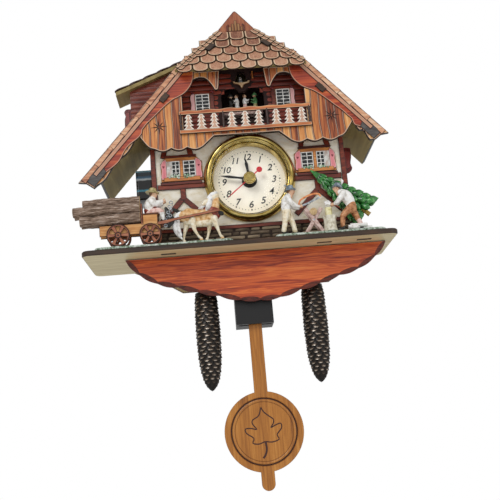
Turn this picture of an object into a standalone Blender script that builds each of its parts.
"""Battery cuckoo clock: a plywood chalet on a shelf, a round quartz insert, a pendulum and two cones.

Frame: metres in the file, millimetres in the values below.  X runs to the right as seen from the
front, the front faces -Y, Z is up.  The wall is the plane y = 0 and the clock hangs at the origin.
Each sub-part is one closed solid.  Neighbours that touch in the real clock keep GAP between them.
"""
import math

import bmesh
import bpy
from mathutils import Matrix, Vector
from mathutils.geometry import tessellate_polygon

MM = 0.001

# ---------------------------------------------------------------- driving dimensions (mm)
GAP = 0.3            # clearance between pieces that touch
PLY = 3.0            # plywood of the walls, roof and boards
THIN_PLY = 2.0       # plywood of the railing, balcony floor and shutters

HOUSE_HALF_W = 77.0  # outer face of the side walls
HOUSE_DEPTH = 48.0   # wall plane to the front face of the front wall
SHELF_TOP = -147.5   # height of the shelf under the hanging point
SHELF_T = 4.0
SHELF_LEFT = -130.6
SHELF_RIGHT = 106.6
SHELF_DEPTH = HOUSE_DEPTH + 27.0   # room for the figures in front of the wall

RIDGE_Z = 60.0       # where the two barge edges would meet
ROOF_PITCH = math.radians(48.6)
ROOF_DROP = 8.8      # roof plates lie this far below the barge edge, square to the slope
EAVE_LEFT = HOUSE_HALF_W + 37.9    # the left slope runs further down than the right one
EAVE_RIGHT = HOUSE_HALF_W + 22.5
TIP_LEFT = EAVE_LEFT + 17.5
TIP_RIGHT = EAVE_RIGHT + 12.3
GABLE_STANDOFF = 10.0   # gap between the front wall and the gable board

CLOCK_Z = -91.8      # centre of the dial
BEZEL_R = 36.3
INSERT_R = BEZEL_R - 5.1   # body of the quartz insert
INSERT_DEPTH = 24.4  # depth of the insert's case behind the dial
DIAL_SET_BACK = 6.0  # dial face behind the front wall's face

BALCONY_Z = CLOCK_Z + BEZEL_R + 1.5   # underside of the balcony floor and foot of the railing
CUCKOO_SILL = -10.0  # foot of the cuckoo's hole
ARCH_SPRING = CUCKOO_SILL - 12.0
RAIL_HALF_W = 52.0
RAIL_H = 17.0
OPENING_HALF_W = 48.5

DRIVE_X = -5.4       # centre line of the pendulum drive
DRIVE_W = 28.6
DRIVE_DEPTH = 25.0
DRIVE_H = 55.4
DRIVE_WALL = 1.5
DRIVE_FRONT = 46.0   # distance of its front face from the wall
PENDULUM_L = 165.4   # pivot to the foot of the tail
PENDULUM_W = 10.0
BOB_R = 29.6
BOB_UP = 42.8        # bob centre above the foot of the tail

CONE_X = 41.6
CONE_DEPTH = 36.0
CONE_R = 10.2
CONE_L = 76.0
CONE_HANG = 27.5     # shelf underside to the top of a cone

# ---------------------------------------------------------------- derived places (mm)
TAN = math.tan(ROOF_PITCH)
COS = math.cos(ROOF_PITCH)
SIN = math.sin(ROOF_PITCH)
SHELF_BOTTOM = SHELF_TOP - SHELF_T
WALL_FOOT = SHELF_TOP + GAP
GABLE_BACK = HOUSE_DEPTH + GABLE_STANDOFF
GABLE_FRONT = GABLE_BACK + PLY
HIP_FOOT = (GABLE_FRONT + 3.0, -3.0)      # distance from the wall, height
HIP_HEAD = (HOUSE_DEPTH - 10.0, RIDGE_Z - 20.0)
HIP_RUN = HIP_FOOT[0] - HIP_HEAD[0]
HIP_RISE = HIP_HEAD[1] - HIP_FOOT[1]
HIP_LEN = math.hypot(HIP_RUN, HIP_RISE)
DIAL_Y = HOUSE_DEPTH - DIAL_SET_BACK


def roof_line(x):
    """Height of the barge edge at x."""
    return RIDGE_Z - abs(x) * TAN


def roof_top(x):
    """Height of the roof plates' upper face at x."""
    return roof_line(x) - ROOF_DROP / COS


def roof_under(x):
    """Height of the roof plates' lower face at x."""
    return roof_line(x) - (ROOF_DROP + PLY) / COS


def hip_inner(height, clearance=GAP):
    """Distance from the wall of the half-hip's back face at a height."""
    depth = HIP_FOOT[0] - (height - HIP_FOOT[1]) * HIP_RUN / HIP_RISE
    return depth - (PLY + clearance) * HIP_LEN / HIP_RISE


# ---------------------------------------------------------------- materials
def material(name, colour, roughness=0.6, metallic=0.0):
    """A Principled material from an sRGB triple."""
    linear = [c / 12.92 if c <= 0.04045 else ((c + 0.055) / 1.055) ** 2.4 for c in colour]
    mat = bpy.data.materials.new(name)
    mat.use_nodes = True
    shader = mat.node_tree.nodes["Principled BSDF"]
    shader.inputs["Base Color"].default_value = (*linear, 1.0)
    shader.inputs["Roughness"].default_value = roughness
    shader.inputs["Metallic"].default_value = metallic
    mat.diffuse_color = (*linear, 1.0)
    return mat


STUCCO = (0.95, 0.91, 0.84)
PLANK = (0.74, 0.42, 0.22)
LOG = (0.46, 0.17, 0.10)
KHAKI = (0.48, 0.41, 0.25)
SHINGLE = (0.80, 0.58, 0.45)
PALE_PLY = (0.80, 0.74, 0.58)
APRON = (0.74, 0.32, 0.15)
BRASS = (0.80, 0.68, 0.38)
BLACK = (0.03, 0.03, 0.03)
GREY = (0.55, 0.55, 0.55)
WHITE = (0.90, 0.90, 0.88)
GREEN = (0.13, 0.36, 0.16)
BAMBOO = (0.68, 0.43, 0.18)
BRONZE = (0.22, 0.17, 0.13)


# ---------------------------------------------------------------- mesh tools
def finish(name, bm, mat, smooth_angle=None):
    """Turn a bmesh in millimetres into a named object with outward faces."""
    bmesh.ops.remove_doubles(bm, verts=bm.verts, dist=1e-4)
    bmesh.ops.dissolve_degenerate(bm, edges=bm.edges, dist=1e-4)
    bmesh.ops.recalc_face_normals(bm, faces=bm.faces)
    bmesh.ops.scale(bm, vec=(MM, MM, MM), verts=bm.verts)
    mesh = bpy.data.meshes.new(name)
    bm.to_mesh(mesh)
    bm.free()
    mesh.materials.append(mat)
    if smooth_angle is not None:
        mesh.shade_smooth()
        mesh.set_sharp_from_angle(angle=math.radians(smooth_angle))
    obj = bpy.data.objects.new(name, mesh)
    bpy.context.scene.collection.objects.link(obj)
    return obj


PLANES = {
    "front": lambda u, v, w: (u, -w, v),      # outline in X and Z, thickness away from the wall
    "side": lambda u, v, w: (w, -u, v),       # outline in wall distance and Z, thickness along X
    "flat": lambda u, v, w: (u, -v, w),       # outline in X and wall distance, thickness along Z
}


def prism_bmesh(loops, low, high, plane):
    """Prism of an outline with holes.  The first loop is the outline, the rest are holes."""
    place = PLANES[plane]
    bm = bmesh.new()
    rings = [[[bm.verts.new(place(u, v, w)) for u, v in loop] for w in (low, high)] for loop in loops]
    flat = [[Vector((u, v, 0.0)) for u, v in loop] for loop in loops]
    for side in (0, 1):
        corners = [vert for ring in rings for vert in ring[side]]
        for triangle in tessellate_polygon(flat):
            bm.faces.new([corners[i] for i in triangle])
    for near, far in rings:
        for i, vert in enumerate(near):
            j = (i + 1) % len(near)
            bm.faces.new((vert, near[j], far[j], far[i]))
    return bm


def board(name, loops, low, high, mat, plane="front"):
    """A flat board cut from one sheet."""
    return finish(name, prism_bmesh(loops, low, high, plane), mat)


def rectangle(u0, u1, v0, v1):
    return [(u0, v0), (u1, v0), (u1, v1), (u0, v1)]


def box(name, x, depth, z, mat):
    """Block from (low, high) pairs in X, wall distance and Z."""
    return board(name, [rectangle(*x, *z)], *depth, mat)


def arc(cu, cv, radius, start, end, steps):
    """Points along an arc, angles in degrees."""
    angles = [math.radians(start + (end - start) * i / steps) for i in range(steps + 1)]
    return [(cu + radius * math.cos(a), cv + radius * math.sin(a)) for a in angles]


def circle(cu, cv, radius, steps=24):
    return arc(cu, cv, radius, 0, 360, steps)[:-1]


def scalloped(points, bulge, steps=3):
    """Points joined by shallow bows that swell to the right-hand side of the way along."""
    line = []
    for (u0, v0), (u1, v1) in zip(points, points[1:]):
        length = math.hypot(u1 - u0, v1 - v0)
        side = ((v1 - v0) / length, -(u1 - u0) / length)
        for i in range(steps):
            t = i / steps
            swell = bulge * math.sin(math.pi * t)
            line.append((u0 + (u1 - u0) * t + side[0] * swell, v0 + (v1 - v0) * t + side[1] * swell))
    return line + [points[-1]]


def lathe_bmesh(profile, centre, axis, steps, closed):
    """Turned solid: profile of (radius, height along the axis), closed ring or ending on the axis."""
    bm = bmesh.new()
    rows = []
    for radius, height in profile:
        if radius < 1e-6:
            rows.append([bm.verts.new((0, 0, height))] * steps)
            continue
        ring = circle(0, 0, radius, steps)
        rows.append([bm.verts.new((u, v, height)) for u, v in ring])
    pairs = list(zip(rows, rows[1:]))
    if closed:
        pairs.append((rows[-1], rows[0]))
    for low, high in pairs:
        for i in range(steps):
            j = (i + 1) % steps
            corners = []
            for vert in (low[i], low[j], high[j], high[i]):
                if vert not in corners:
                    corners.append(vert)
            bm.faces.new(corners)
    turn = {"Z": Matrix(), "-Y": Matrix.Rotation(math.pi / 2, 4, "X"),
            "X": Matrix.Rotation(math.pi / 2, 4, "Y")}[axis]
    bmesh.ops.transform(bm, matrix=Matrix.Translation(centre) @ turn, verts=bm.verts)
    return bm


def turned(name, profile, centre, mat, axis="-Y", steps=24, closed=False, angle=35):
    """A turned piece.  Along -Y the profile's heights are distances from the wall."""
    return finish(name, lathe_bmesh(profile, centre, axis, steps, closed), mat, angle)


def drum(r, low, high):
    """Profile of a plain cylinder."""
    return [(0, low), (r, low), (r, high), (0, high)]


def helper(obj):
    """Mark an operand of a Boolean, which is no piece of the clock."""
    obj.hide_render = True
    obj.display_type = "WIRE"
    return obj


def combine(target, tool, operation):
    """Add or cut another solid with an exact Boolean."""
    mod = target.modifiers.new(operation.title(), "BOOLEAN")
    mod.operation = operation
    mod.solver = "EXACT"
    mod.object = helper(tool)
    return target


def cut_plane(obj, point, normal):
    """Cut a mesh with a plane, drop the part on the normal's side and close the cut."""
    bm = bmesh.new()
    bm.from_mesh(obj.data)
    found = bmesh.ops.bisect_plane(bm, geom=bm.verts[:] + bm.edges[:] + bm.faces[:],
                                   plane_co=Vector(point) * MM, plane_no=Vector(normal), clear_outer=True)
    edges = [e for e in found["geom_cut"] if isinstance(e, bmesh.types.BMEdge)]
    bmesh.ops.triangle_fill(bm, edges=edges, use_beauty=True)
    bmesh.ops.recalc_face_normals(bm, faces=bm.faces)
    bm.to_mesh(obj.data)
    bm.free()
    return obj


def ring_bmesh(centre, major, minor, axis, steps=16, sides=6):
    """A wire ring."""
    profile = [(major + u, v) for u, v in circle(0, 0, minor, sides)]
    return lathe_bmesh(profile, centre, axis, steps, True)


def blob(bm, centre, size, lean=0.0):
    """Add an ellipsoid with half sizes along X, Y and Z, leaned about Y by degrees."""
    turn = Matrix.Translation(centre) @ Matrix.Rotation(math.radians(lean), 4, "Y")
    bmesh.ops.create_uvsphere(bm, u_segments=12, v_segments=8, radius=1.0,
                              matrix=turn @ Matrix.Diagonal((*size, 1.0)))


def limb(bm, start, end, r0, r1):
    """Add a tapered limb with round ends."""
    start = Vector(start)
    end = Vector(end)
    turn = (end - start).to_track_quat("Z", "Y").to_matrix().to_4x4()
    place = Matrix.Translation((start + end) / 2) @ turn
    bmesh.ops.create_cone(bm, cap_ends=True, segments=10, radius1=r0, radius2=r1,
                          depth=(end - start).length, matrix=place)
    for point, radius in ((start, r0), (end, r1)):
        bmesh.ops.create_uvsphere(bm, u_segments=10, v_segments=6, radius=radius,
                                  matrix=Matrix.Translation(point))


def slab(bm, x, depth, z):
    """Add a block to a carved piece."""
    low = Vector((x[0], -depth[1], z[0]))
    high = Vector((x[1], -depth[0], z[1]))
    size = high - low
    bmesh.ops.create_cube(bm, size=1.0, matrix=Matrix.Translation((low + high) / 2) @ Matrix.Diagonal((*size, 1.0)))


def carved(name, bm, mat, voxel, keep):
    """A small moulded figure: its overlapping shapes are fused by a voxel remesh, then thinned."""
    mesh = bpy.data.meshes.new(name)
    bmesh.ops.scale(bm, vec=(MM, MM, MM), verts=bm.verts)
    bm.to_mesh(mesh)
    bm.free()
    mesh.materials.append(mat)
    obj = bpy.data.objects.new(name, mesh)
    bpy.context.scene.collection.objects.link(obj)
    mod = obj.modifiers.new("Fuse", "REMESH")
    mod.mode = "VOXEL"
    mod.voxel_size = voxel * MM
    mod.use_smooth_shade = True
    thin = obj.modifiers.new("Thin", "DECIMATE")
    thin.ratio = keep
    return obj


# ---------------------------------------------------------------- chalet: boards of the house
def shelf_plate():
    """Shelf that carries the house and figures, with three tenon slots near its front edge."""
    r = 6.0
    outline = (arc(SHELF_LEFT + r, r, r, 180, 270, 4) + arc(SHELF_RIGHT - r, r, r, 270, 360, 4)
               + arc(SHELF_RIGHT - r, SHELF_DEPTH - r, r, 0, 90, 4)
               + arc(SHELF_LEFT + r, SHELF_DEPTH - r, r, 90, 180, 4))
    slot_v = SHELF_DEPTH - 14.0
    slots = [rectangle(u - 5, u + 5, slot_v - PLY / 2, slot_v + PLY / 2)
             for u in (SHELF_LEFT + 63.7, SHELF_RIGHT - 54.9, SHELF_RIGHT - 24.3)]
    board("shelf_plate", [outline] + slots, SHELF_BOTTOM, SHELF_TOP,
          material("charred_edge_plywood", PALE_PLY, 0.6), "flat")


def back_panel():
    """Board against the wall with the battery access hole and the keyhole that the clock hangs by."""
    edge = HOUSE_HALF_W - PLY - GAP
    top = RIDGE_Z - (ROOF_DROP + PLY + GAP) / COS
    outline = [(-edge, WALL_FOOT), (edge, WALL_FOOT), (edge, roof_under(edge) - GAP / COS), (0, top),
               (-edge, roof_under(edge) - GAP / COS)]
    access = circle(0, CLOCK_Z, INSERT_R + 1.8, 28)
    keyhole = arc(0, -6, 4.5, 120, 420, 10) + arc(0, -2.2, 2.2, 0, 180, 6)
    board("back_panel", [outline, access, keyhole], 0.0, PLY, material("plain_plywood", PALE_PLY, 0.7))


def front_wall():
    """Timbered front wall with the clock hole, the double arch and the cuckoo's hole."""
    back = HOUSE_DEPTH - PLY
    head = HIP_FOOT[1] + (HIP_FOOT[0] - HOUSE_DEPTH) * HIP_RISE / HIP_RUN
    head -= (PLY + GAP) * HIP_LEN / HIP_RUN
    edge = HOUSE_HALF_W
    shoulder = roof_under(edge) - GAP / COS
    top_half = (RIDGE_Z - (ROOF_DROP + PLY + GAP) / COS - head) / TAN
    outline = [(-edge, WALL_FOOT), (edge, WALL_FOOT), (edge, shoulder), (top_half, head),
               (-top_half, head), (-edge, shoulder)]
    clock = circle(0, CLOCK_Z, INSERT_R + GAP, 32)
    sill = BALCONY_Z + 12
    arches = ([(-17.2, sill), (17.2, sill)] + arc(9.2, ARCH_SPRING, 8.0, 0, 150, 8)
              + arc(-9.2, ARCH_SPRING, 8.0, 30, 180, 8))
    cuckoo = [(-4.3, CUCKOO_SILL), (4.3, CUCKOO_SILL)] + arc(0, CUCKOO_SILL + 4.8, 4.3, 0, 180, 8)
    board("front_wall", [outline, clock, arches, cuckoo], back, HOUSE_DEPTH,
          material("timbered_wall_board", STUCCO, 0.6))


def side_walls():
    """Left and right walls between the back panel and the front wall."""
    top = roof_under(HOUSE_HALF_W) - GAP / COS
    outline = rectangle(0, HOUSE_DEPTH - PLY - GAP, WALL_FOOT, top)
    for name, side in (("left_wall", -1), ("right_wall", 1)):
        faces = sorted((side * HOUSE_HALF_W, side * (HOUSE_HALF_W - PLY)))
        board(name, [outline], *faces, material(name + "_board", STUCCO, 0.6), "side")


def half_gable(side, tip):
    """Outline of one half of the gable board from the skirt's middle, round the tip, to the opening."""
    corner = HOUSE_HALF_W + 7.5
    skirt = CLOCK_Z + 21.5
    foot = CLOCK_Z + BEZEL_R - 3.8
    low = [(25.5, foot), (34.5, skirt)]
    waves = scalloped([(34.5, skirt), (47, skirt), (59.5, skirt), (corner - 12.5, skirt)], 2.2, 4)[1:]
    meet = roof_line(corner) - 22.0
    barge = [(corner, meet)]
    width = tip - 12.0 - corner
    steps = 8
    for i in range(1, steps + 1):
        x = corner + width * i / steps
        barge.append((x, roof_line(x) - 20.5 + 1.6 * math.cos(4 * math.pi * i / steps)))
    end = [(tip - 6, roof_line(tip) - 0.8), (tip, roof_line(tip))]
    hip_clear = HIP_FOOT[1] + (HIP_FOOT[0] - GABLE_FRONT) * HIP_RISE / HIP_RUN - (PLY + GAP) * HIP_LEN / HIP_RUN
    shoulder = (RIDGE_Z - hip_clear) / TAN
    top = [(shoulder, hip_clear), (17.3, hip_clear)]
    pendant = [(18.8, -17.5)] + arc(21, -19, 1.9, 180, 360, 4)
    arch = [(25.5, -14.5), (29, -10.6), (34, -9.6), (39, -11.6), (43, -16.5), (OPENING_HALF_W, -22)]
    jamb = [(OPENING_HALF_W, BALCONY_Z)]
    points = low + waves + barge + end + top + pendant + arch + jamb
    return [(side * u, v) for u, v in points]


def gable_front():
    """Gable board with its barge arms, scalloped skirt, pendants and balcony opening."""
    outline = half_gable(1, TIP_RIGHT) + half_gable(-1, TIP_LEFT)[::-1]
    board("gable_front", [outline], GABLE_BACK, GABLE_FRONT, material("gable_plank_board", PLANK, 0.5))


def roof_plate(name, side, eave):
    """One slope of the main roof, cut back where the half-hip and the top gable stand."""
    ridge = side * GAP / 2
    low = side * eave
    lift = (low + side * PLY * SIN, roof_under(low) + PLY * COS)
    profile = [(ridge, roof_top(ridge)), lift, (low, roof_under(low)), (ridge, roof_under(ridge))]
    plate = board(name, [profile], 0.0, GABLE_BACK - GAP, material("shingled_roof_plywood", KHAKI, 0.7))
    step = HIP_HEAD[1] + GAP
    front = GABLE_FRONT + 20
    wedge = [(front, HIP_FOOT[1] - 30), (hip_inner(HIP_FOOT[1] - 30), HIP_FOOT[1] - 30),
             (hip_inner(step), step), (HIP_HEAD[0] - PLY - GAP, step), (HIP_HEAD[0] - PLY - GAP, RIDGE_Z + 10),
             (front, RIDGE_Z + 10)]
    tool = board(name + "_cutter", [wedge], -150, 150, plate.data.materials[0], "side")
    return combine(plate, tool, "DIFFERENCE")


def half_hip_roof():
    """Leaning half-hip panel with a beaver-tail lower edge."""
    mat = material("beaver_tail_shingles", SHINGLE, 0.55)
    foot_half = 52.5
    head_half = (RIDGE_Z - HIP_HEAD[1]) / TAN
    tails = 8
    pitch = 2 * foot_half / tails
    foot = []
    for i in range(tails):
        centre = -foot_half + pitch * (i + 0.5)
        foot += arc(centre, 0, pitch / 2, 180, 360, 6)[:-1]
    foot = [(u, v * 0.55) for u, v in foot] + [(foot_half, 0)]
    outline = foot + [(head_half, HIP_LEN), (-head_half, HIP_LEN)]
    panel = board("half_hip_roof", [outline], -PLY, 0, mat)
    panel.location = (0, -HIP_FOOT[0] * MM, HIP_FOOT[1] * MM)
    panel.rotation_euler = (-math.atan2(HIP_RUN, HIP_RISE), 0, 0)


def top_gable():
    """Small upright gable above the half-hip."""
    foot = HIP_HEAD[1] + GAP
    half = (RIDGE_Z - foot) / TAN
    board("top_gable", [[(-half, foot), (half, foot), (0, RIDGE_Z)]], HIP_HEAD[0] - PLY, HIP_HEAD[0],
          material("top_gable_board", PLANK, 0.5))


def balcony():
    """Balcony floor behind the gable board and the railing in front of it."""
    floor_top = BALCONY_Z + GAP + THIN_PLY
    edge = OPENING_HALF_W - 0.7
    board("balcony_floor", [rectangle(-edge, edge, HOUSE_DEPTH + GAP, GABLE_FRONT)],
          BALCONY_Z + GAP, floor_top, material("balcony_floor_board", LOG, 0.6), "flat")
    low = BALCONY_Z - 0.5
    high = low + RAIL_H
    outline = rectangle(-RAIL_HALF_W, RAIL_HALF_W, low, high)
    holes = []
    for group in (-1, 0, 1):
        for step in (-1, 1):
            centre = group * (RAIL_HALF_W - 17.5) + step * 5.25
            holes.append(rectangle(centre - 2.4, centre + 2.4, low + 3.6, high - 4.2))
    front = GABLE_FRONT + GAP
    board("balcony_railing", [outline] + holes, front, front + THIN_PLY,
          material("railing_plywood", PLANK, 0.5))


# ---------------------------------------------------------------- chalet: dormer and outside fittings
DORMER_X = -91.0         # outer wall of the dormer
DORMER_NEAR = 40.0       # its front cheek's face, from the wall
DORMER_FAR = 22.0
DORMER_EAVE = (-102.0, -9.5)
DORMER_PITCH = math.radians(22.1)


def dormer():
    """Shed dormer on the left slope: glued cheeks and wall under one sloping slab."""
    inner = DORMER_X + PLY
    far_end = -30.0
    ring = [(DORMER_X, DORMER_FAR), (DORMER_X, DORMER_NEAR), (far_end, DORMER_NEAR),
            (far_end, DORMER_NEAR - PLY), (inner, DORMER_NEAR - PLY), (inner, DORMER_FAR + PLY),
            (far_end, DORMER_FAR + PLY), (far_end, DORMER_FAR)]
    walls = board("dormer_walls", [ring], roof_line(DORMER_X) - 20, RIDGE_Z,
                  material("dormer_log_board", LOG, 0.6), "flat")
    slope = (-SIN, 0, COS)
    cut_plane(walls, (0, 0, roof_top(0) + GAP / COS), [-c for c in slope])
    rise = (-math.sin(DORMER_PITCH), 0, math.cos(DORMER_PITCH))
    drop = (PLY + GAP) / math.cos(DORMER_PITCH)
    cut_plane(walls, (DORMER_EAVE[0], 0, DORMER_EAVE[1] - drop), rise)

    head_x = -5.0
    head_z = DORMER_EAVE[1] + (head_x - DORMER_EAVE[0]) * math.tan(DORMER_PITCH)
    thick = PLY / math.cos(DORMER_PITCH)
    profile = [DORMER_EAVE, (head_x, head_z), (head_x, head_z - thick),
               (DORMER_EAVE[0], DORMER_EAVE[1] - thick)]
    roof = board("dormer_roof", [profile], DORMER_FAR - 4, DORMER_NEAR + 4,
                 material("dormer_roof_plywood", KHAKI, 0.7))
    cut_plane(roof, (0, 0, roof_top(0) + GAP / COS), [-c for c in slope])


def shutters():
    """Open shutters that stand out from the right wall and the dormer."""
    right = HOUSE_HALF_W + GAP
    width = 9.2
    top = roof_under(right + width) - 8.0
    profile = [(right, top - 22), (right + 6.5, top - 22), (right + width, top - 18), (right + width, top),
               (right, top + 1)]
    board("right_shutter", [profile], 24, 24 + THIN_PLY, material("right_shutter_board", LOG, 0.6))
    left = DORMER_X - GAP
    board("dormer_shutter", [rectangle(left - 6, left, -37.5, -19.5)], 30, 30 + THIN_PLY,
          material("dormer_shutter_board", LOG, 0.6))


def sound_module():
    """Black chime module screwed to the left wall."""
    x = -HOUSE_HALF_W - GAP
    width = 13.5
    height = 25.0
    top = roof_under(x - width) - 13.2
    obj = box("sound_module", (x - width, x), (8, 34), (top - height, top),
              material("module_black_abs", BLACK, 0.25))
    bevel = obj.modifiers.new("Bevel", "BEVEL")
    bevel.width = 1.0 * MM
    bevel.segments = 2


def apron_boards():
    """Scalloped apron under the shelf front and a plain board against the wall."""
    top = SHELF_BOTTOM - GAP
    depths = [(0, 38.3), (15, 37.2), (31, 32.6), (46, 28.8), (62, 23.7), (77, 19.8), (91, 11.3), (100.5, 0)]
    right = [(x, top - drop) for x, drop in depths]
    left = [(-x, z) for x, z in right[:0:-1]]
    outline = scalloped((left + right)[::-1], -1.3, 4)
    front = SHELF_DEPTH - 22.0
    board("apron_front", [outline], front - PLY, front, material("apron_plywood", APRON, 0.45))
    rear = [(-98, top), (-75, top - 10), (-60, top - 19.3), (60, top - 19.3), (75, top - 10), (98, top)]
    board("apron_rear", [rear], 0.5, 0.5 + PLY, material("rear_apron_plywood", PALE_PLY, 0.6))


# ---------------------------------------------------------------- quartz insert
GEAR_LAYERS = [DIAL_Y - 8.0, DIAL_Y - 6.8, DIAL_Y - 5.6, DIAL_Y - 4.4, DIAL_Y - 3.1]  # rear faces
GEAR_T = 0.8
MESH_GAP = 0.15
THIRD_X = -12.0
WORK_Z = 14.0            # setting arbor above the centre arbor
ROTOR_AT = (9.5, -9.5)
CASE_WALL = 1.3
BATTERY_R = 7.15
BATTERY_L = 50.4
PARTITION = DIAL_Y - 8.8  # front face of the case's inner floor


def at_clock(x=0.0, z=0.0):
    return (x, 0, CLOCK_Z + z)


def stepped(pairs, bore=0.0):
    """Profile of a wheel stack from (radius, rear, front) steps, with a bore or a solid core."""
    profile = [(bore, pairs[0][1])]
    for radius, rear, front in pairs:
        profile += [(radius, rear), (radius, front)]
    profile.append((bore, pairs[-1][2]))
    return profile


def toothed(name, stack, where, mat, teeth_on, bore=0.0, steps=32):
    """A wheel on its arbor; the widest step has shallow teeth."""
    bm = lathe_bmesh(stepped(stack, bore), (0, 0, 0), "-Y", steps, bore > 0)
    for vert in bm.verts:
        radius = math.hypot(vert.co.x, vert.co.z)
        if abs(radius - teeth_on) < 1e-3:
            index = round(math.atan2(vert.co.z, vert.co.x) / (2 * math.pi / steps))
            if index % 2:
                vert.co.x *= 1 - 0.5 / radius
                vert.co.z *= 1 - 0.5 / radius
    bmesh.ops.translate(bm, vec=where, verts=bm.verts)
    return finish(name, bm, mat)


def bezel_and_dial():
    """Brass bezel, clear lens and printed dial."""
    wall = HOUSE_DEPTH + GAP
    neck = INSERT_R
    profile = [(BEZEL_R, wall), (BEZEL_R + 0.1, wall + 2.2), (BEZEL_R - 1.2, wall + 5.0),
               (BEZEL_R - 3.2, wall + 6.9), (BEZEL_R - 4.7, wall + 6.9), (neck - 0.2, wall + 5.6),
               (neck - 0.2, wall + 3.3), (neck - 1.3, wall + 3.3), (neck - 2.0, DIAL_Y + GAP),
               (neck, DIAL_Y + GAP), (neck, wall)]
    turned("bezel", profile, at_clock(), material("lacquered_brass", BRASS, 0.2, 1.0), steps=36, closed=True)
    rear = wall + 3.3 + GAP
    turned("lens", drum(neck - 0.2 - GAP, rear, rear + 1.2), at_clock(), material("clear_lens", WHITE, 0.05),
           steps=40)
    hole = 2.6 + GAP
    plate = [(hole, DIAL_Y - 0.8), (neck, DIAL_Y - 0.8), (neck, DIAL_Y), (hole, DIAL_Y)]
    turned("dial", plate, at_clock(), material("printed_dial", WHITE, 0.5), steps=40, closed=True)


def insert_shell():
    """Round case of the insert, its rear cover with the battery opening, and the battery."""
    rear = DIAL_Y - 1.1 - INSERT_DEPTH
    front = DIAL_Y - 0.8 - GAP
    inner = INSERT_R - CASE_WALL
    floor = PARTITION - 1.2
    profile = [(0, floor), (inner, floor), (inner, rear), (INSERT_R, rear), (INSERT_R, front), (inner, front),
               (inner, PARTITION), (0, PARTITION)]
    black = material("case_black_abs", BLACK, 0.4)
    case = turned("insert_case", profile, at_clock(), black, steps=40)
    bore = turned("case_bore_cutter", drum(1.3, floor - 5, PARTITION + 5), at_clock(0, WORK_Z), black, steps=12)
    combine(case, bore, "DIFFERENCE")

    battery_z = -(BATTERY_R + GAP)
    opening = rectangle(-BATTERY_L / 2 - 0.5, BATTERY_L / 2 + 0.5, CLOCK_Z + 2 * battery_z - 0.1, CLOCK_Z - 0.1)
    knob_hole = circle(0, CLOCK_Z + WORK_Z, 1.4, 12)
    board("insert_back", [circle(0, CLOCK_Z, INSERT_R, 40), opening, knob_hole], rear - 1.5 - GAP, rear - GAP,
          material("cover_black_abs", BLACK, 0.4))
    reach = floor - GAP - BATTERY_R
    half = BATTERY_L / 2
    cell = [(0, -half), (BATTERY_R, -half), (BATTERY_R, half - 1.2), (2.8, half - 1.2), (2.8, half), (0, half)]
    turned("clock_battery", cell, (0, -reach, CLOCK_Z + battery_z), material("battery_sleeve", GREY, 0.35, 0.4),
           axis="X", steps=20)


def gear_train():
    """Motor, wheels and setting knob of the quartz movement, from the rotor to the hour wheel."""
    brassy = material("wheel_brass", BRASS, 0.35, 1.0)
    nylon = material("wheel_nylon", WHITE, 0.5)
    steel = material("arbor_steel", GREY, 0.3, 1.0)
    l1, l2, l3, l4, l5 = GEAR_LAYERS
    second_r = 12.0 - MESH_GAP
    toothed("seconds_wheel", [(second_r, l1, l1 + GEAR_T), (1.41 - MESH_GAP, l1 + GEAR_T, l2 + GEAR_T),
                              (0.6, l2 + GEAR_T, DIAL_Y + 5.5)], at_clock(), nylon, second_r)
    third_r = 10.59 - MESH_GAP
    toothed("third_wheel", [(third_r, l2, l2 + GEAR_T), (1.333 - MESH_GAP, l2 + GEAR_T, l3 + GEAR_T)],
            at_clock(THIRD_X), nylon, third_r)
    minute_r = 10.667 - MESH_GAP
    toothed("minute_wheel", [(minute_r, l3, l3 + GEAR_T), (3.5 - MESH_GAP, l3 + GEAR_T, l4 + GEAR_T),
                             (1.6, l4 + GEAR_T, DIAL_Y + 4.4)], at_clock(), brassy, minute_r, bore=0.9)
    work_r = 10.5 - MESH_GAP
    toothed("minute_work_wheel", [(0.9, PARTITION + GAP, l4), (work_r, l4, l4 + GEAR_T),
                                  (2.8 - MESH_GAP, l4 + GEAR_T, l5 + GEAR_T)], at_clock(0, WORK_Z), nylon, work_r)
    hour_r = 11.2 - MESH_GAP
    toothed("hour_wheel", [(hour_r, l5, l5 + GEAR_T), (2.6, l5 + GEAR_T, DIAL_Y + 3.0)], at_clock(), nylon,
            hour_r, bore=1.9)
    turned("rotor", stepped([(1.2 - MESH_GAP, l1, l3), (2.5, l3, l4 + GEAR_T)]), at_clock(*ROTOR_AT), steel,
           steps=16)
    floor = PARTITION + GAP
    turned("coil", [(0, -13), (2.6, -13), (2.6, -11.8), (2.0, -11.8), (2.0, 11.8), (2.6, 11.8), (2.6, 13), (0, 13)],
           (2, -(floor + 2.6), CLOCK_Z - 20.5), material("coil_copper", (0.72, 0.40, 0.22), 0.35, 1.0),
           axis="X", steps=16)
    box("circuit_board", (14.5, 24.0), (floor, floor + 0.8), (CLOCK_Z - 5, CLOCK_Z + 12),
        material("circuit_laminate", GREEN, 0.4))
    knob_front = DIAL_Y - 1.1 - INSERT_DEPTH - 1.5 - 2 * GAP
    turned("setting_knob", [(0, knob_front - 5), (4.2, knob_front - 5), (4.5, knob_front - 4.4),
                            (4.5, knob_front - 0.5), (4.2, knob_front), (0.9, knob_front), (0.9, PARTITION),
                            (0, PARTITION)],
           at_clock(0, WORK_Z), material("knob_black_abs", BLACK, 0.35), steps=20)


HAND_T = 0.5


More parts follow.
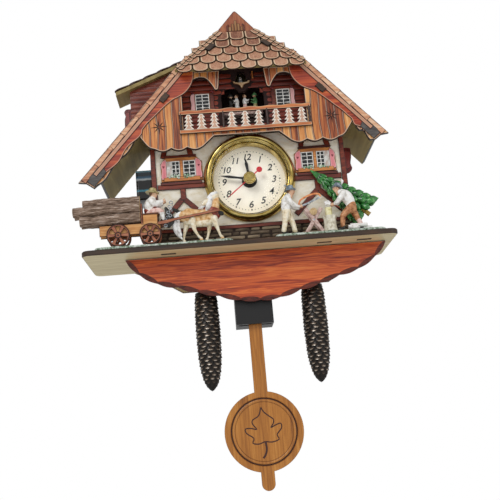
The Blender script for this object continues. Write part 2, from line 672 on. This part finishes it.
def hand_outline(length, tail, width, hub, bore):
    """Tapered hand pointing up, with a round hub."""
    half = width / 2
    side = math.degrees(math.asin(half / hub))
    left = arc(0, 0, hub, 90 + side, 270 - side, 8)
    right = arc(0, 0, hub, 270 + side, 450 - side, 8)
    foot = [(-half * 0.8, -tail), (half * 0.8, -tail)] if tail > hub else []
    tip = [(half, length * 0.72), (0, length), (-half, length * 0.72)]
    return left + foot + right + tip if not bore else (left + foot + right + tip, circle(0, 0, bore, 12))


def hands():
    """Hour, minute and second hands, turned clockwise to the time that they show."""
    black = material("hand_black_paint", BLACK, 0.35)
    red = material("hand_red_paint", (0.72, 0.05, 0.12), 0.35)
    hour_at = DIAL_Y + 2.5
    minute_at = DIAL_Y + 3.9
    for name, length, width, hub, bore, at, clockwise in (
            ("hour_hand", 18.0, 2.6, 5.4, 2.6 + GAP, hour_at, 353.3),
            ("minute_hand", 23.0, 2.2, 4.6, 1.6 + GAP, minute_at, 280.0)):
        loops = hand_outline(length, 0, width, hub, bore)
        hand = board(name, list(loops), at, at + HAND_T, black)
        hand.location = (0, 0, CLOCK_Z * MM)
        hand.rotation_euler = (0, math.radians(clockwise), 0)
    second_at = DIAL_Y + 5.5 + GAP
    hand = board("second_hand", [hand_outline(24.0, 13.0, 1.2, 3.2, 0)], second_at, second_at + HAND_T, red)
    hand.location = (0, 0, CLOCK_Z * MM)
    hand.rotation_euler = (0, math.radians(231.0), 0)
    cap = [(0, second_at - 0.05), (4.6, second_at - 0.05), (5.0, second_at + 0.8), (4.2, second_at + 2.4),
           (1.5, second_at + 3.1), (0, second_at + 3.2)]
    cap_tool = turned("hub_cap_part", cap, (0, 0, 0), red, steps=20)
    cap_tool.location = (0, 0, CLOCK_Z * MM)
    combine(hand, cap_tool, "UNION")


# ---------------------------------------------------------------- pendulum and its drive
PIVOT_Z = SHELF_BOTTOM - GAP - 13.2
PENDULUM_Y = DRIVE_FRONT - 6.0
DRIVE_TOP = SHELF_BOTTOM - GAP
DRIVE_LOW = DRIVE_TOP - DRIVE_H
DRIVE_REAR = DRIVE_FRONT - DRIVE_DEPTH


def pendulum_drive():
    """Black battery drive under the shelf: shell, sliding cover, cell, coil and pivot pin."""
    black = material("drive_black_abs", BLACK, 0.35)
    half = DRIVE_W / 2
    inner = half - DRIVE_WALL
    case = box("drive_case", (DRIVE_X - half, DRIVE_X + half), (DRIVE_REAR, DRIVE_FRONT), (DRIVE_LOW, DRIVE_TOP),
               black)
    hollow = box("drive_hollow_cutter", (DRIVE_X - inner, DRIVE_X + inner),
                 (DRIVE_REAR - 5, DRIVE_FRONT - DRIVE_WALL), (DRIVE_LOW + DRIVE_WALL, DRIVE_TOP - DRIVE_WALL), black)
    slot = box("drive_slot_cutter", (DRIVE_X - inner, DRIVE_X + inner), (PENDULUM_Y - 2.4, PENDULUM_Y + 2.4),
               (DRIVE_LOW - 5, DRIVE_LOW + 5), black)
    combine(case, hollow, "DIFFERENCE")
    combine(case, slot, "DIFFERENCE")
    box("drive_cover", (DRIVE_X - half, DRIVE_X + half), (DRIVE_REAR - GAP - 1.5, DRIVE_REAR - GAP),
        (DRIVE_LOW, DRIVE_TOP - 0.7), material("drive_cover_abs", BLACK, 0.4))
    cell_y = DRIVE_REAR + GAP + BATTERY_R
    foot = DRIVE_LOW + DRIVE_WALL + GAP
    cell = [(0, foot), (BATTERY_R, foot), (BATTERY_R, foot + BATTERY_L - 1.2), (2.8, foot + BATTERY_L - 1.2),
            (2.8, foot + BATTERY_L), (0, foot + BATTERY_L)]
    turned("drive_battery", cell, (DRIVE_X, -cell_y, 0), material("drive_battery_sleeve", GREY, 0.35, 0.4),
           axis="Z", steps=20)
    front = DRIVE_FRONT - DRIVE_WALL - GAP
    turned("drive_coil", [(2.0, front - 1.2), (6.0, front - 1.2), (6.0, front), (2.0, front)],
           (DRIVE_X, 0, DRIVE_LOW + 14), material("drive_copper", (0.72, 0.40, 0.22), 0.35, 1.0), steps=20,
           closed=True)
    turned("pivot_pin", drum(0.8, PENDULUM_Y - 2.3, front), (DRIVE_X, 0, PIVOT_Z),
           material("pin_steel", GREY, 0.25, 1.0), steps=16)


def pendulum():
    """Hanger inside the drive and the wooden pendulum: strip, round bob and short round tail."""
    joint_z = PIVOT_Z - 26.0
    half = 3.0
    eye = arc(0, PIVOT_Z, half, 0, 180, 8)
    strip = [(u + DRIVE_X, v) for u, v in eye + [(-half, joint_z), (half, joint_z)]]
    bore = circle(DRIVE_X, PIVOT_Z, 0.8 + 0.1, 16)
    board("pendulum_hanger", [strip, bore], PENDULUM_Y - 1.2, PENDULUM_Y + 1.2,
          material("hanger_plastic", WHITE, 0.45))
    top = joint_z - GAP
    half = PENDULUM_W / 2
    foot = PIVOT_Z - PENDULUM_L
    bob_z = foot + BOB_UP
    side = math.degrees(math.asin(half / BOB_R))
    right = arc(0, bob_z, BOB_R, 90 - side, -90 + side, 24)
    tail = arc(0, foot + half, half, 0, -180, 8)
    left = arc(0, bob_z, BOB_R, 270 - side, 90 + side, 24)
    outline = [(half, top)] + right + tail + left + [(-half, top)]
    board("pendulum", [[(u + DRIVE_X, v) for u, v in outline]], PENDULUM_Y - PLY / 2, PENDULUM_Y + PLY / 2,
          material("bamboo_brown_wood", BAMBOO, 0.4))


def cones():
    """Two fir-cone weights, each on a loop that hangs in a screw ring under the shelf."""
    wire = 0.7
    ring_r = 3.2
    cone_top = SHELF_BOTTOM - CONE_HANG
    loop_z = cone_top + ring_r - 0.5
    ring_z = loop_z + 2 * ring_r - 2 * wire - GAP
    for name, x in (("left", -CONE_X), ("right", CONE_X)):
        brass = material(name + "_hook_brass", BRASS, 0.3, 1.0)
        y = -CONE_DEPTH
        hook = finish(name + "_cone_hook", ring_bmesh((x, y, ring_z), ring_r, wire, "-Y"), brass, 40)
        stem = turned(name + "_stem_part", drum(0.8, ring_z + ring_r - 0.3, SHELF_BOTTOM - GAP), (x, y, 0), brass,
                      axis="Z", steps=10)
        combine(hook, stem, "UNION")
        profile = [(0, cone_top), (3.4, cone_top - 0.4)]
        rows = 8
        for i in range(rows):
            t = (i + 0.5) / rows
            radius = CONE_R * math.sin(math.pi * (0.14 + 0.78 * t)) ** 0.42
            z = cone_top - CONE_L * (0.03 + 0.90 * i / (rows - 1))
            profile += [(radius * 0.93, z), (radius, z - 1.6)]
        profile += [(0, cone_top - CONE_L)]
        mat = material(name + "_cone_bronze", BRONZE, 0.4, 0.6)
        cone = turned(name + "_cone", profile[::-1], (x, y, 0), mat, axis="Z", steps=18)
        loop = finish(name + "_loop_part", ring_bmesh((x, y, loop_z), ring_r, wire, "X"), mat, 40)
        combine(cone, loop, "UNION")


# ---------------------------------------------------------------- figures on the shelf
FIGURE_Y = SHELF_DEPTH - 11.0        # row of figures, from the wall
BASE_TOP = SHELF_TOP + GAP + 2.6     # top of their moulded bases
STAND = BASE_TOP + GAP


def log_wagon():
    """Four-wheeled log wagon on its base strip, and the stack of logs."""
    y = FIGURE_Y
    bm = bmesh.new()
    slab(bm, (-120, -19), (y - 6.5, y + 6.5), (SHELF_TOP + GAP, BASE_TOP))
    slab(bm, (-117, -71), (y - 4.6, y + 4.6), (STAND + 13.4, STAND + 16.6))
    slab(bm, (-84.6, -82), (y - 4.6, y + 4.6), (STAND + 16, STAND + 32))
    slab(bm, (-84, -73), (y - 4.6, y + 4.6), (STAND + 16, STAND + 23))
    limb(bm, (-73, -y - 5.7, STAND + 15), (-26, -y - 5.7, STAND + 22), 1.2, 1.2)
    for x, radius in ((-103, 8.8), (-79, 8.2)):
        limb(bm, (x, -y - 6, BASE_TOP + radius), (x, -y + 6, BASE_TOP + radius), 1.3, 1.3)
        slab(bm, (x - 2, x + 2), (y - 3, y + 3), (BASE_TOP + radius, STAND + 14))
        for face in (-6.2, 4.6):
            wheel = lathe_bmesh(drum(radius, y + face, y + face + 1.6), (x, 0, BASE_TOP + radius - 0.4), "-Y", 20,
                                False)
            mesh = bpy.data.meshes.new("wheel_shape")
            wheel.to_mesh(mesh)
            wheel.free()
            bm.from_mesh(mesh)
            bpy.data.meshes.remove(mesh)
    carved("log_wagon", bm, material("wagon_orange_wood", (0.80, 0.50, 0.27), 0.5), 0.75, 0.06)

    bm = bmesh.new()
    bed = STAND + 16.6 + GAP
    for ends, away, up, radius in (((-131, -86), -4, 4.1, 4.1), ((-131, -86), 4, 4.1, 4.1),
                                   ((-136, -86), -4, 11.7, 3.9), ((-136, -86), 4, 11.7, 3.9),
                                   ((-129, -86), 0, 18.2, 3.7)):
        limb(bm, (ends[0] + radius, -y - away, bed + up), (ends[1] - radius, -y - away, bed + up), radius, radius)
    carved("log_stack", bm, material("log_bark", (0.45, 0.33, 0.26), 0.7), 0.9, 0.045)


def driver():
    """Seated driver with a hat."""
    bm = bmesh.new()
    y = -FIGURE_Y
    seat = STAND + 23 + GAP
    blob(bm, (-77.5, y, seat + 3.2), (4.2, 3.6, 3.2))
    blob(bm, (-77.3, y, seat + 8.2), (4.0, 3.7, 6.0))
    blob(bm, (-75.5, y, seat + 16.5), (3.0, 2.9, 3.4))
    blob(bm, (-76.0, y, seat + 19.4), (4.6, 4.3, 1.4), 12)
    limb(bm, (-75, y - 3.2, seat + 11.5), (-66.5, y - 3.4, seat + 10), 1.5, 1.2)
    limb(bm, (-74, y - 1.5, seat + 2), (-69.6, y - 1.5, seat + 2.0), 1.9, 1.7)
    limb(bm, (-69.4, y - 1.5, seat + 1.8), (-68.4, y - 1.5, seat - 5), 1.7, 1.3)
    carved("wagon_driver", bm, material("driver_paint", WHITE, 0.5), 0.7, 0.13)


def horse():
    """Draught horse that walks to the right and looks back."""
    bm = bmesh.new()
    y = -FIGURE_Y
    blob(bm, (-39.5, y, STAND + 19.5), (14, 3.6, 6.2), -3)
    blob(bm, (-50, y, STAND + 19.5), (5.5, 3.7, 6.5))
    limb(bm, (-30, y, STAND + 21), (-28.6, y, STAND + 32), 4.4, 2.6)
    limb(bm, (-28.8, y, STAND + 34.5), (-38.5, y, STAND + 28.6), 2.7, 1.7)
    limb(bm, (-28.6, y, STAND + 36), (-28.2, y, STAND + 38.2), 0.9, 0.6)
    for hip, hoof in ((-52, -55), (-46.5, -41.5), (-33, -35.5), (-29, -25.5)):
        limb(bm, (hip, y, STAND + 16), ((hip + hoof) / 2 - 1, y, STAND + 8.5), 2.4, 1.5)
        limb(bm, ((hip + hoof) / 2 - 1, y, STAND + 8.5), (hoof, y, STAND + 1.7), 1.4, 1.3)
    limb(bm, (-55, y, STAND + 23), (-58.8, y, STAND + 17), 1.8, 2.0)
    limb(bm, (-58.8, y, STAND + 17), (-57, y, STAND + 6), 2.0, 1.0)
    carved("horse", bm, material("horse_cream_paint", (0.88, 0.76, 0.58), 0.5), 0.75, 0.10)


def sawyer():
    """Standing man with a bow saw."""
    bm = bmesh.new()
    y = -FIGURE_Y
    limb(bm, (24.5, y, STAND + 18), (21.5, y, STAND + 2.2), 2.6, 1.8)
    limb(bm, (26, y, STAND + 18), (30, y, STAND + 2.2), 2.6, 1.8)
    blob(bm, (25.8, y, STAND + 23.5), (4.0, 3.4, 8.5), 8)
    blob(bm, (30.0, y, STAND + 34.5), (2.9, 2.8, 3.3))
    blob(bm, (29.5, y, STAND + 37.2), (4.6, 4.2, 1.5), 6)
    limb(bm, (28, y - 1.5, STAND + 28), (35.5, y - 1.5, STAND + 21), 1.7, 1.4)
    limb(bm, (35.5, y - 1.5, STAND + 21), (52, y - 1.5, STAND + 27.5), 0.9, 0.9)
    limb(bm, (35, y - 1.5, STAND + 25.5), (51, y - 1.5, STAND + 29.5), 0.9, 0.9)
    limb(bm, (35.5, y - 1.5, STAND + 21), (35, y - 1.5, STAND + 25.5), 0.9, 0.9)
    carved("sawyer", bm, material("sawyer_paint", WHITE, 0.5), 0.7, 0.10)


def saw_horse():
    """Crossed saw horse on the right base strip with a short log in its fork."""
    bm = bmesh.new()
    y = -FIGURE_Y
    slab(bm, (16, 96), (FIGURE_Y - 6.5, FIGURE_Y + 6.5), (SHELF_TOP + GAP, BASE_TOP))
    for away in (-3, 3):
        limb(bm, (39, y - away, BASE_TOP), (50.5, y - away, STAND + 18), 1.3, 1.3)
        limb(bm, (50.5, y - away, BASE_TOP), (39.5, y - away, STAND + 18), 1.3, 1.3)
    limb(bm, (44.9, y - 4.5, STAND + 15.6), (44.9, y + 4.5, STAND + 15.6), 2.9, 2.9)
    carved("saw_horse", bm, material("saw_horse_wood", (0.72, 0.60, 0.52), 0.6), 0.75, 0.055)


def chopping_block():
    """Tree stump with a split log on top."""
    profile = [(0, STAND), (5.6, STAND), (5.0, STAND + 2), (4.8, STAND + 11.5), (5.6, STAND + 12),
               (3.0, STAND + 12.1), (2.8, STAND + 19), (0, STAND + 19)]
    turned("chopping_block", profile, (57.2, -FIGURE_Y, 0), material("stump_wood", (0.85, 0.80, 0.66), 0.6),
           axis="Z", steps=14)


def woodcutter():
    """Man bent over the block."""
    bm = bmesh.new()
    y = -FIGURE_Y
    limb(bm, (72, y, STAND + 18), (67.0, y, STAND + 10.5), 2.7, 2.1)
    limb(bm, (67.0, y, STAND + 10.5), (66.6, y, STAND + 2.2), 2.1, 1.8)
    limb(bm, (74, y, STAND + 18), (80.0, y, STAND + 3), 2.6, 1.8)
    blob(bm, (70.8, y, STAND + 25.5), (5.8, 3.7, 7.8), -28)
    blob(bm, (65.0, y, STAND + 34.0), (2.9, 2.8, 3.2))
    blob(bm, (65.8, y, STAND + 36.8), (4.8, 4.2, 1.5), -10)
    limb(bm, (67, y - 2, STAND + 28), (61.6, y - 2, STAND + 22.6), 1.8, 1.3)
    carved("woodcutter", bm, material("woodcutter_paint", WHITE, 0.5), 0.7, 0.10)


def fir_tree():
    """Felled fir that leans behind the woodcutter, moulded in half relief."""
    length = 57.0
    trunk = 7.0
    tiers = 7
    profile = [(0, 0), (2.0, 0), (2.0, trunk)]
    for i in range(tiers):
        t = i / tiers
        z = trunk + (length - trunk) * t
        profile += [(12.5 * (1 - t) + 1.5, z), (8.2 * (1 - t) + 0.9, z + (length - trunk) / tiers * 0.92)]
    profile += [(0, length)]
    bm = lathe_bmesh(profile, (0, 0, 0), "Z", 12, False)
    bmesh.ops.scale(bm, vec=(1, 0.30, 1), verts=bm.verts)
    lean = Matrix.Translation((90, -(HOUSE_DEPTH + 5.2), STAND + 14.5)) @ Matrix.Rotation(math.radians(-47), 4, "Y")
    bmesh.ops.transform(bm, matrix=lean, verts=bm.verts)
    finish("fir_tree", bm, material("fir_green_paint", GREEN, 0.5))


DANCER_FOOT = BALCONY_Z + 22.0   # top of the dancers' block, so that heads show over the handrail


def dancers_and_cuckoo():
    """Dancing couples on their block behind the arches, and the bird behind its hole."""
    y = -(HOUSE_DEPTH - PLY - 5.5)
    bm = bmesh.new()
    foot = DANCER_FOOT
    slab(bm, (-16, 16), (HOUSE_DEPTH - PLY - 10, HOUSE_DEPTH - PLY - 1.2), (foot - 4, foot))
    for x in (-9.5, -4.5, 2.0, 10.5):
        blob(bm, (x, y, foot + 5.5), (2.2, 2.0, 7.4))
        blob(bm, (x, y, foot + 13.3), (1.6, 1.6, 1.9))
    carved("dancers", bm, material("dancer_paint", WHITE, 0.5), 0.7, 0.07)
    bm = bmesh.new()
    limb(bm, (0, y - 0.5, -7.5), (0, y + 6, -6.5), 2.4, 1.4)
    blob(bm, (0, y - 1.6, -4.0), (1.7, 1.7, 1.7))
    limb(bm, (0, y + 6, -6.5), (0, y + 12, -14.0), 0.9, 0.9)
    carved("cuckoo", bm, material("cuckoo_paint", WHITE, 0.5), 0.6, 0.15)


def clear_scene():
    for obj in list(bpy.data.objects):
        bpy.data.objects.remove(obj, do_unlink=True)


def main():
    clear_scene()
    shelf_plate()
    back_panel()
    front_wall()
    side_walls()
    gable_front()
    roof_plate("roof_left", -1, EAVE_LEFT)
    roof_plate("roof_right", 1, EAVE_RIGHT)
    half_hip_roof()
    top_gable()
    balcony()
    dormer()
    shutters()
    sound_module()
    apron_boards()
    bezel_and_dial()
    insert_shell()
    gear_train()
    hands()
    pendulum_drive()
    pendulum()
    cones()
    log_wagon()
    driver()
    horse()
    sawyer()
    saw_horse()
    chopping_block()
    woodcutter()
    fir_tree()
    dancers_and_cuckoo()


main()
